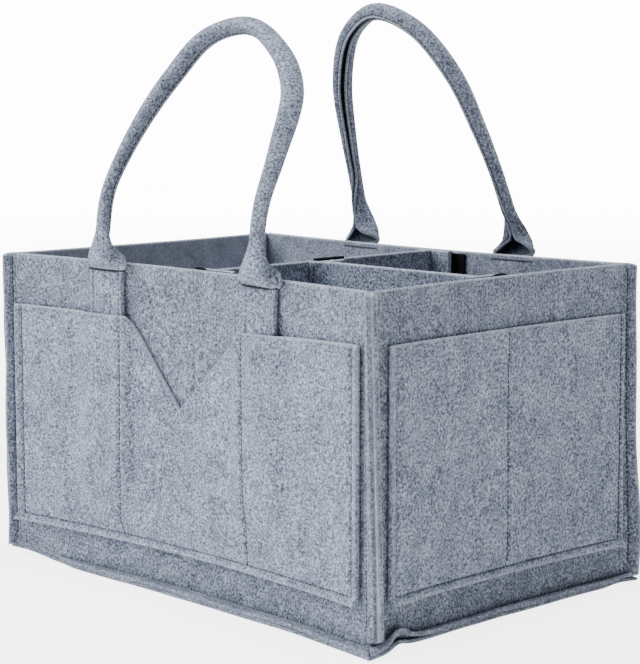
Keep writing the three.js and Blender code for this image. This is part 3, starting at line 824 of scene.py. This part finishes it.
STRAP_STITCH = 2.6
STRAP_THREAD = 1.0
STRAP_STAND = (0.3, 1.3)
STAND_WIDTH = 5.0
STAND_FROM = (LONG_POCKET["top"] - 4.0, LONG_POCKET["top"] + 3.0)
STAND_TO = (174.0, 182.0)
STRAP_SIDE = 0.05
# How far the strap's right cut side is painted darker, as painted shade.
STRAP_SIDE_SHADE = 0.35
STRAP_TOP = 183.6
FOOT_SEAM = 179.3
FOOT_ROW = 30.0
FOOT_ROW_CURVE = 0.5
FOOT_ROW_HEIGHT = 1.7
# Thick, close stitches: a real seam that also serves as painted shadow under the foot.
FOOT_STITCH_AND_SHADOW = {"pitch": 1.9, "length": 2.3, "radius": 0.75}
INNER_ROW = RIM - 2.5
INNER_ROW_HEIGHT = -1.4
INNER_ROW_STITCH = {"pitch": 1.9, "length": 2.4, "radius": 0.8}


def strap_middle(wall, centre):
    """A strap whose right side stands off the wall, most between the pocket and the foot."""
    def middle(u, z):
        x = centre + u
        above_pocket = smooth(z, *STAND_FROM) * (1 - smooth(z, *STAND_TO))
        stand = STRAP_STAND[0] + (STRAP_STAND[1] - STRAP_STAND[0]) * above_pocket
        at_right = unit((u - STRAP_WIDTH / 2 + STAND_WIDTH) / STAND_WIDTH)
        lift = LAYER_GAP + stand * at_right ** 1.5
        return np.stack([x, outer_face(wall, x, z) - lift - FELT / 2, z + 0 * x], axis=-1)
    return middle


for name, row_shift, inside_shift in (("front", 1.7, 0.0), ("back", 0.0, -4.0)):
    wall = WALLS[name]
    inner = wall_middle(wall, wall_plan(wall))
    for side, centre in zip(("left", "right"), STRAP_CENTRES[name]):
        middle = strap_middle(wall, centre)
        line = STRAP_WIDTH / 2 - STRAP_STITCH
        columns = stops(-STRAP_WIDTH / 2, STRAP_WIDTH / 2, step=4.0, creases=(-line, line))
        rows = stops(STRAP_BOTTOM, STRAP_TOP, step=6.0)

        def strap_half(u, z):
            edge = np.minimum(STRAP_WIDTH / 2 - np.abs(u), within(z, STRAP_BOTTOM, STRAP_TOP))
            return FELT / 2 * soft_edge(edge, **FIRM_EDGE) - dent(np.abs(u) - line, depth=0.6)

        strip = felt_sheet(columns, rows, middle, strap_half, strap_half, fuzz_and_highlight=0.35)
        # Painted shade on the strap's right cut side, which faces away from the key light.
        points, _, look = strip
        right_side = points[:, 0] > centre + STRAP_WIDTH / 2 - STRAP_SIDE
        look[right_side, PAINTED_SHADE] = STRAP_SIDE_SHADE
        add_to_wall(f"{name}_{side}_strap_felt", [strip], grey_felt, wall, [f"{name}_strap_{side}"])

        up = np.linspace(STRAP_BOTTOM + 3, STRAP_TOP - 2, 90)
        threads = [stitches(middle, s * line, up, STRAP_THREAD) for s in (-1, 1)]
        across = np.linspace(-FOOT_ROW / 2, FOOT_ROW / 2, 40) + row_shift
        inside = centre + inside_shift + across
        threads.append(stitches(inner, inside, INNER_ROW, INNER_ROW_HEIGHT, **INNER_ROW_STITCH))
        add_to_wall(f"{name}_{side}_strap_thread", threads, grey_thread, wall)
        # Dark thread row under the foot: partly the seam, partly painted shadow in the crease.
        drawn_up = FOOT_SEAM + FOOT_ROW_CURVE * (2 * (across - row_shift) / FOOT_ROW) ** 4
        foot_seam_and_shadow = stitches(middle, across, drawn_up, FOOT_ROW_HEIGHT, **FOOT_STITCH_AND_SHADOW)
        add_to_wall(f"{name}_{side}_foot_thread", [foot_seam_and_shadow], dark_thread, wall)

# Handles: a felt strip each, laid over the straps at its feet and rolled into a tube between them. Its cut
# edges are sewn together as lips, along a seam that turns to the inner side. At a foot they part and leave
# a bell-shaped hollow over the rim.

HANDLE_HALF = 64.0
HINGE_Y = 105.04
HINGE_Z = 185.0
BEND_START = 2.0
BEND_LENGTH = 50.0
FOOT_DROP = 3.8
FOOT_BULGE = 8.0
FOOT_STRIP = 26.0
FOOT_SWELL = 11.0
FOOT_PUFF = 6.5
FOOT_ANGLE = 0.2
PUFF_ANGLE = 0.85
HOLLOW = (-1.0, 10.0)
ROLL_FROM = -5.0
FULL_FROM = -2.0
TENT_RISE = (0.0, 8.0)
TENT_FALL = 10.0
FOOT_TURN_RISE = (-1.0, 8.0)
FOOT_TURN_FALL = (14.0, 45.0)
LIP = 2.6
LIP_SHARE = 0.16
LIP_ANGLE = 0.42
LIP_PRESS = 0.4
PRESS_ALONG = (12.0, 24.0)
PRESS_ACROSS = (0.78, 0.88)
LIP_ROW = 0.93
LIP_THREAD = 0.85
HALF_STRIP = 11.0
SEAM_TURN = math.radians(40.0)
SEAM_TURN_REACH = (8.0, 45.0)
LEG_WIDTH = 9.2
LEG_THICKNESS = 8.2
GRIP_WIDTH = 12.2
GRIP_THICKNESS = 11.0
WIDENING = (35.0, 105.0)
THICKENING = (35.0, 125.0)
ROLL_SPREAD = 0.25
ARCH_SLIMMER = 0.14
ARCH = (120.0, 150.0)
# Painted shade on the handles: stronger near the feet and across the seam side.
FOOT_SHADE = 0.2
FOOT_SHADE_REACH = (16.0, 32.0)
SHADE_ALONG = (2.0, 6.0)
SHADE_ACROSS = (0.25, 0.6)
HANDLES = {
    "front": {
        "lean": math.radians(33.7), "twist": 0.13, "flare": 20.0, "tent": 0.3, "foot_turn": (0.0, 0.0),
        "inner_shade": 0.2,
        "route": ((-61.0, -FOOT_DROP), (-61.0, 4.0), (-65.0, 40.0), (-62.0, 77.0), (-51.5, 114.0),
                  (-37.0, 142.0), (-16.0, 150.8), (19.0, 135.5), (41.0, 112.0), (53.8, 73.0), (61.5, 41.0),
                  (66.8, 2.0), (66.5, -FOOT_DROP)),
    },
    "back": {
        "lean": math.radians(23.3), "twist": 0.0, "flare": 28.0, "tent": 0.5, "foot_turn": (0.0, 0.75),
        "inner_shade": 0.32,
        "route": ((-67.5, -FOOT_DROP), (-66.5, 2.0), (-60.0, 35.0), (-54.0, 76.0), (-46.0, 109.5),
                  (-23.0, 142.0), (2.0, 151.3), (26.0, 140.0), (48.0, 107.0), (57.5, 70.0), (62.5, 34.0),
                  (59.5, 2.0), (58.5, -FOOT_DROP)),
    },
}


def handle_route(pose):
    """Middle line of a handle, a smooth curve from its left foot over the arch to its right foot."""
    places = np.array(pose["route"])
    chord = way_along(places)
    slope = np.gradient(places, chord, axis=0)
    fine = np.linspace(0.0, chord[-1], 2000)
    at = np.clip(np.searchsorted(chord, fine, "right") - 1, 0, len(chord) - 2)
    span = np.diff(chord)[at, None]
    t = (fine - chord[at])[:, None] / span
    ease = t * t * (3 - 2 * t)
    curve = places[at] * (1 - ease) + places[at + 1] * ease
    curve = curve + span * t * (1 - t) * ((1 - t) * slope[at] - t * slope[at + 1])
    reach = way_along(curve)
    even = np.linspace(0.0, reach[-1], int(reach[-1]) + 1)
    return even, np.stack([np.interp(even, reach, curve[:, k]) for k in range(2)], axis=1)


def bent(pose, x, h, inward):
    """Point of a handle's plane, which leans inward above the foot; inward is measured square to it."""
    lean = pose["lean"] * (1 + pose["twist"] * x / HANDLE_HALF)
    turn = lean * unit((h - BEND_START) / BEND_LENGTH)
    radius = BEND_LENGTH / lean
    past = np.maximum(0.0, h - BEND_START - BEND_LENGTH)
    y = radius * (1 - np.cos(turn)) + past * np.sin(turn) + inward * np.cos(turn)
    z = np.minimum(h, BEND_START) + radius * np.sin(turn) + past * np.cos(turn) - inward * np.sin(turn)
    return np.stack([x, y - HINGE_Y, z + HINGE_Z], axis=-1)


def handle_middle(wall, pose):
    """A handle's strip: t runs across it from cut edge to cut edge, and s along it from foot to foot."""
    even, route = handle_route(pose)
    tangent = directions(np.gradient(route, axis=0))

    def middle(t, s):
        x0, h0 = (np.interp(s, even, column) for column in route.T)
        ahead_x, ahead_h = (np.interp(s, even, column) for column in tangent.T)
        size = np.hypot(ahead_x, ahead_h)
        from_foot = within(s, 0.0, even[-1]) - FOOT_DROP
        rolled = smooth(from_foot, ROLL_FROM, pose["flare"])
        full = smooth(from_foot, FULL_FROM, pose["flare"])
        wide = (LEG_WIDTH + (GRIP_WIDTH - LEG_WIDTH) * smooth(h0, *WIDENING) - FELT) / 2
        deep = (LEG_THICKNESS + (GRIP_THICKNESS - LEG_THICKNESS) * smooth(h0, *THICKENING) - FELT) / 2
        puffed = np.sin(math.pi / 2 * unit((from_foot + FOOT_DROP) / FOOT_PUFF))
        tented = smooth(from_foot, *TENT_RISE)
        flat = 1 + pose["tent"] * tented * (1 - smooth(from_foot, TENT_FALL, pose["flare"]))
        closed = math.pi - LIP_ANGLE / flat ** 2
        opening = FOOT_ANGLE + PUFF_ANGLE * puffed
        opening = opening + (closed - (FOOT_ANGLE + PUFF_ANGLE)) * smooth(from_foot, *HOLLOW) ** 0.8
        strip = FOOT_STRIP + FOOT_SWELL * puffed
        radius = (strip + (2 * math.pi * deep - strip) * full) / (2 * opening)
        radius = radius * (1 - LIP / (2 * deep + LIP) * rolled)
        at_wall = outer_face(wall, x0, RIM + 0 * x0)
        flat_y = at_wall + HINGE_Y - LAYER_GAP * 2 - FELT * 1.5
        foot_crown = FOOT_BULGE * puffed - flat_y
        crown = foot_crown + (deep - foot_crown) * full
        seam = 1 - LIP_SHARE * rolled
        angle = np.clip(t / seam, -1.0, 1.0) * opening
        lip = LIP * rolled * unit((np.abs(t) - seam) / LIP_SHARE)
        shift = np.where(s < even[-1] / 2, *pose["foot_turn"]) * smooth(from_foot, *FOOT_TURN_RISE)
        shift = shift * (1 - smooth(from_foot, *FOOT_TURN_FALL))
        widened = 1 + (wide / deep - 1 + ROLL_SPREAD) * rolled
        across = (radius * np.sin(angle + shift) * widened - lip * np.sin(shift)) * flat
        through = radius * np.cos(angle + shift) / flat - lip * np.cos(shift)
        turn = SEAM_TURN * smooth(from_foot, *SEAM_TURN_REACH)
        slimmer = 1 - ARCH_SLIMMER * smooth(h0, *ARCH)
        aside = (across * np.cos(turn) - through * np.sin(turn)) * slimmer
        out = crown - radius / flat + across * np.sin(turn) + through * np.cos(turn)
        slope_in = (outer_face(wall, x0 + aside, RIM + 0 * x0) - at_wall) * (1 - rolled)
        return bent(pose, x0 + aside * ahead_h / size, h0 - aside * ahead_x / size, slope_in - out)
    return middle, even[-1]


for name, pose in HANDLES.items():
    wall = WALLS[name]
    middle, length = handle_middle(wall, pose)
    near_seam = np.array([0.8, 0.84, 0.87, 0.91, 0.95, 0.98, 1.0])
    around = np.concatenate([-near_seam[::-1], np.linspace(-0.76, 0.76, 21), near_seam])
    along = stops(0.0, length, step=3.0)

    def handle_half(t, s):
        from_end = within(s, 0.0, length)
        edge = np.minimum(from_end, (1 - np.abs(t)) * HALF_STRIP)
        pressed = 1 - LIP_PRESS * smooth(from_end, *PRESS_ALONG) * smooth(np.abs(t), *PRESS_ACROSS)
        return FELT / 2 * pressed * soft_edge(edge)

    strip = felt_sheet(around, along, middle, handle_half, handle_half, fuzz_and_highlight=0.6)
    look = strip[2]
    t, s = (places.ravel() for places in np.meshgrid(around, along, indexing="ij"))
    from_end = within(s, 0.0, length)
    # Painted shade on the outer face's seam side, stronger near the feet and on the back handle.
    near_foot = 1 - smooth(from_end, *FOOT_SHADE_REACH)
    inner_shade = pose["inner_shade"] + FOOT_SHADE * near_foot
    look[:t.size, PAINTED_SHADE] = smooth(np.abs(t), *SHADE_ACROSS) * smooth(from_end, *SHADE_ALONG) * inner_shade
    # The strip's inner face is painted fully dark, as painted shade inside the tube and the hollow feet.
    look[t.size:2 * t.size, PAINTED_SHADE] = 1.0
    handle = add_piece(f"{name}_handle_felt", [strip], grey_felt, None, wall["turn"],
                       [f"{name}_handle"])
    seam_run = np.linspace(pose["flare"] + 8, length - pose["flare"] - 8, 400)
    lip_rows = [stitches(middle, side * LIP_ROW, seam_run, LIP_THREAD) for side in (-1, 1)]
    thread = add_piece(f"{name}_handle_thread", lip_rows, dark_thread, None, wall["turn"])
    out = -1 if name == "front" else 1
    for piece in (handle, thread):
        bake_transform(piece)

# Dividers: two felt panels, each with a felt strip sewn across both ends, that stand in the box and lift out.
# The long one runs from the front wall to the back one. The short one runs from it to the right wall, and its
# inner end bends forward.

CROSS_X = 14.0
CROSS_END = 88.62
HALF_Y = -11.0
HALF_TIP = 16.8
HALF_START = 19.4
HALF_END = 139.1
HALF_ROWS = (1.6, 9.0)
DIVIDER_TOP = 184.2
DIVIDER_WAVE = 0.8
TIP_BEND = -6.5
TIP_LENGTH = 14.0
PANEL_INSET = 1.6
SHORT_WING = 8.0
LONG_WING = 16.0
WING_STITCH = 2.4
ROW_HEIGHTS = np.linspace(WALL_BOTTOM + 3, DIVIDER_TOP - 3, 90)


def upright_sheet(corner, reach, thickness, bottom, top, along_x, wave=0.0, curl=0.0):
    """Upright sheet from corner, reach long along x or y, with its face to the side."""
    def middle(u, z):
        bow = wave * np.sin(np.pi * u / reach) * (0.4 + 0.6 * (z - bottom) / (top - bottom))
        bow = bow + curl * unit(1 - u / TIP_LENGTH) ** 2
        if along_x:
            return np.stack([corner[0] + u, corner[1] + bow, z + 0 * u], axis=-1)
        return np.stack([corner[0] + bow, corner[1] + u, z + 0 * u], axis=-1)

    def half(u, z):
        edge = np.minimum(within(u, 0.0, reach), within(z, bottom, top))
        return thickness / 2 * soft_edge(edge * FELT / thickness)

    return felt_sheet(stops(0.0, reach, step=6.0), stops(bottom, top, step=6.0), middle, half, half), middle


def divider_strip(corner, length, along_x, inward, shells, lines):
    """Adds a strip across a divider's end, with a row of stitches near each of its sides."""
    strip, middle = upright_sheet(corner, length, FELT, WALL_BOTTOM, DIVIDER_TOP, along_x)
    shells.append(strip)
    for u in (WING_STITCH, length - WING_STITCH):
        lines.append(stitches(middle, u, ROW_HEIGHTS, inward * FELT / 2))


def add_divider(name, shells, lines):
    add_piece(f"{name}_felt", shells, grey_felt, f"{name}_body", nodes=[name])
    add_piece(f"{name}_thread", lines, dark_thread, f"{name}_body")


panel, _ = upright_sheet((CROSS_X, -CROSS_END + PANEL_INSET), 2 * CROSS_END - 2 * PANEL_INSET, FELT,
                         WALL_BOTTOM, DIVIDER_TOP, along_x=False, wave=DIVIDER_WAVE)
shells = [panel]
lines = []
for end in (-1, 1):
    corner = (CROSS_X - SHORT_WING, end * (CROSS_END - FELT / 2))
    divider_strip(corner, SHORT_WING + LONG_WING, True, -end, shells, lines)
add_divider("cross_divider", shells, lines)

panel, middle = upright_sheet((HALF_TIP, HALF_Y), HALF_END - HALF_TIP - PANEL_INSET, FELT,
                              WALL_BOTTOM, DIVIDER_TOP, along_x=True, wave=-DIVIDER_WAVE, curl=TIP_BEND)
shells = [panel]
lines = [stitches(middle, u, ROW_HEIGHTS, FELT / 2) for u in HALF_ROWS]
for x, out, start in ((HALF_START + FELT / 2, -1, -1.0), (HALF_END - FELT / 2, 1, -SHORT_WING)):
    divider_strip((x, HALF_Y + start), LONG_WING - start, False, -out, shells, lines)
add_divider("half_divider", shells, lines)

# Hook-and-loop tape: black woven tape. The fuzzy loop side, 24 mm wide, is sewn inside three walls and on the
# long divider. The hook side is on the dividers' end strips, a little narrower than they are.

TAPE = 1.5
LOOP_WIDTH = 24.0
LOOPS = {
    "front": {"first": 3.0, "top": 182.8, "raised_at": 4.0, "raised": 2.2},
    "back": {"first": -37.5, "top": 182.4, "raised_at": 12.0, "raised": 0.0},
    "right": {"first": -9.0, "top": 183.2, "raised_at": 10.0, "raised": 1.7},
}
RAISED_FROM = 150.0
RAISED_HALF = 7.0
DIVIDER_LOOP_TOP = 185.4
DIVIDER_LOOP_START = HALF_Y - 3.2
HOOK_TOP = 183.6
HOOK_FROM = 1.0
INNER_HOOK_FROM = 9.0
HOOK_WIDTH = SHORT_WING + LONG_WING - 2 * HOOK_FROM


def tape_material(name, pile_scale, pile_depth):
    """Dull black nylon with a fine pile of loops or hooks."""
    material, tree, shader, place = new_material(name)
    pile = add_node(tree, "TexVoronoi", {"Vector": place, "Scale": pile_scale}).outputs["Distance"]
    shades = add_node(tree, "ValToRGB", {"Fac": pile})
    shades.color_ramp.elements[0].color = (0.008, 0.008, 0.010, 1.0)
    shades.color_ramp.elements[1].color = (0.002, 0.002, 0.0025, 1.0)
    bump = add_node(tree, "Bump", {"Strength": 0.8, "Distance": pile_depth, "Height": pile})
    bump.invert = True
    set_inputs(shader, {"Base Color": shades.outputs["Color"], "Normal": bump.outputs["Normal"],
                        "Roughness": 0.85, "Specular IOR Level": 0.2})
    return material


loop_pile = tape_material("black_loop_pile", 1500.0, 0.0005)
hook_pile = tape_material("black_hook_pile", 900.0, 0.0006)

for name, loop in LOOPS.items():
    wall = WALLS[name]
    top = loop["top"]

    def middle(u, z):
        x = loop["first"] + u
        y = outer_face(wall, x, z) + FELT + LAYER_GAP + TAPE / 2
        raised = loop["raised"] * np.exp(-((u - loop["raised_at"]) / RAISED_HALF) ** 4)
        return np.stack([x, y, z + raised * smooth(z, RAISED_FROM, top)], axis=-1)

    def tape_half(u, z):
        edge = np.minimum(within(u, 0.0, LOOP_WIDTH), within(z, WALL_BOTTOM + FELT, top))
        return TAPE / 2 * soft_edge(edge * (FELT / TAPE))

    columns = stops(0.0, LOOP_WIDTH, step=3.0)
    rows = stops(WALL_BOTTOM + FELT, top, step=8.0)
    strip = felt_sheet(columns, rows, middle, tape_half, tape_half)
    add_to_wall(f"{name}_loop_strip", [strip], loop_pile, wall, [f"{name}_loop_tape"])


def add_divider_tape(name, end, corner, width, top, along_x, material):
    """A tape on a divider; its name ends in loop or hook."""
    strip, _ = upright_sheet(corner, width, TAPE, WALL_BOTTOM, top, along_x)
    add_piece(f"{name}_{end}_strip", [strip], material, f"{name}_body", nodes=[f"{name}_{end}_tape"])


loop_corner = (CROSS_X + FELT / 2 + LAYER_GAP + TAPE / 2, DIVIDER_LOOP_START)
add_divider_tape("cross_divider", "loop", loop_corner, LOOP_WIDTH, DIVIDER_LOOP_TOP, False, loop_pile)
for end, out in (("front_hook", -1), ("back_hook", 1)):
    corner = (CROSS_X - SHORT_WING + HOOK_FROM, out * (CROSS_END + LAYER_GAP + TAPE / 2))
    add_divider_tape("cross_divider", end, corner, HOOK_WIDTH, HOOK_TOP, True, hook_pile)
for end, x, start in (("inner_hook", HALF_START - LAYER_GAP - TAPE / 2, INNER_HOOK_FROM),
                      ("outer_hook", HALF_END + LAYER_GAP + TAPE / 2, HOOK_FROM)):
    corner = (x, HALF_Y - SHORT_WING + start)
    width = HOOK_WIDTH + HOOK_FROM - start
    add_divider_tape("half_divider", end, corner, width, HOOK_TOP, False, hook_pile)
